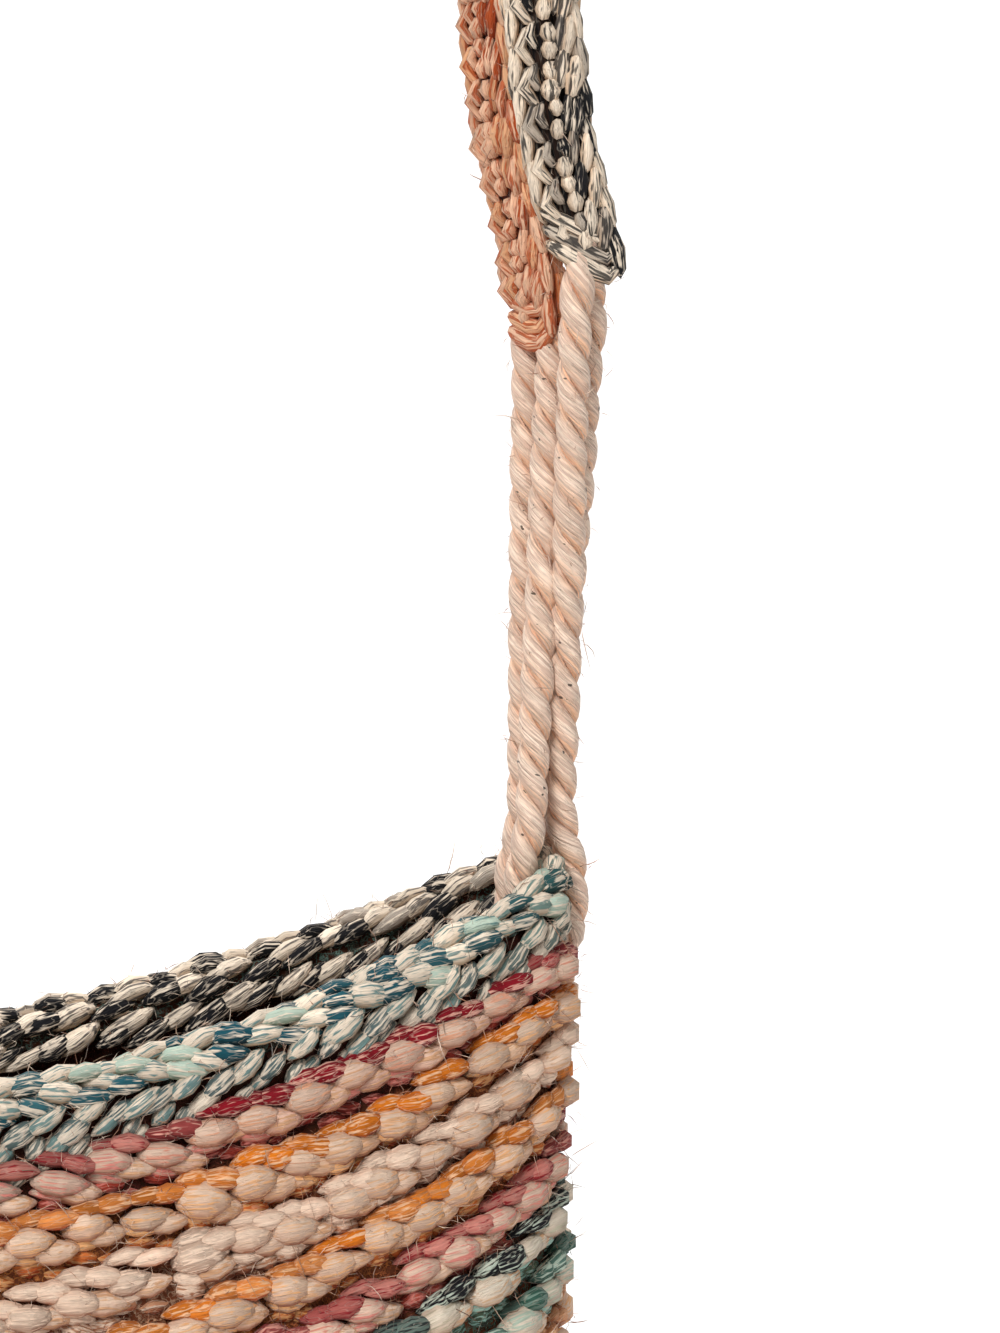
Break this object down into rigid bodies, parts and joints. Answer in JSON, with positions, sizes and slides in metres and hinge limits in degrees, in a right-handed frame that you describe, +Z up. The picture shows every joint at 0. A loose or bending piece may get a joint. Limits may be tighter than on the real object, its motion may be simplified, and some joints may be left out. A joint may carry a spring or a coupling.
{
  "type": "crochet shoulder bag",
  "caption": "Soft crochet pouch bag with striped rounds, an open drooping mouth, twisted cords at the corners and a narrow crochet shoulder strap, shown hanging.",
  "frame": {"origin": "the point under the middle of the strap where the bag hangs", "axes": "+Z up, +X to the wearer's view right along the mouth, -Y out of the front"},
  "size_m": [0.3022, 0.0942, 0.6519],
  "materials": {
    "body_yarn": "matt marl yarn in stripes of cream, crimson, orange, green and black",
    "rim_yarn": "matt marl yarn, cream with teal",
    "cord": "smooth twisted cord, peach beige",
    "dark_band_yarn": "matt marl yarn, cream with black and grey",
    "rust_band_yarn": "matt marl yarn, cream with rust"
  },
  "bodies": {
    "root": {"base_panel": "body_yarn", "bag_wall": "body_yarn", "rim_edging": "rim_yarn", "cord_right_front": "cord", "cord_right_back": "cord", "cord_left_front": "cord", "cord_left_back": "cord", "strap_dark_band": "dark_band_yarn", "strap_rust_band": "rust_band_yarn"}
  },
  "joints": []
}
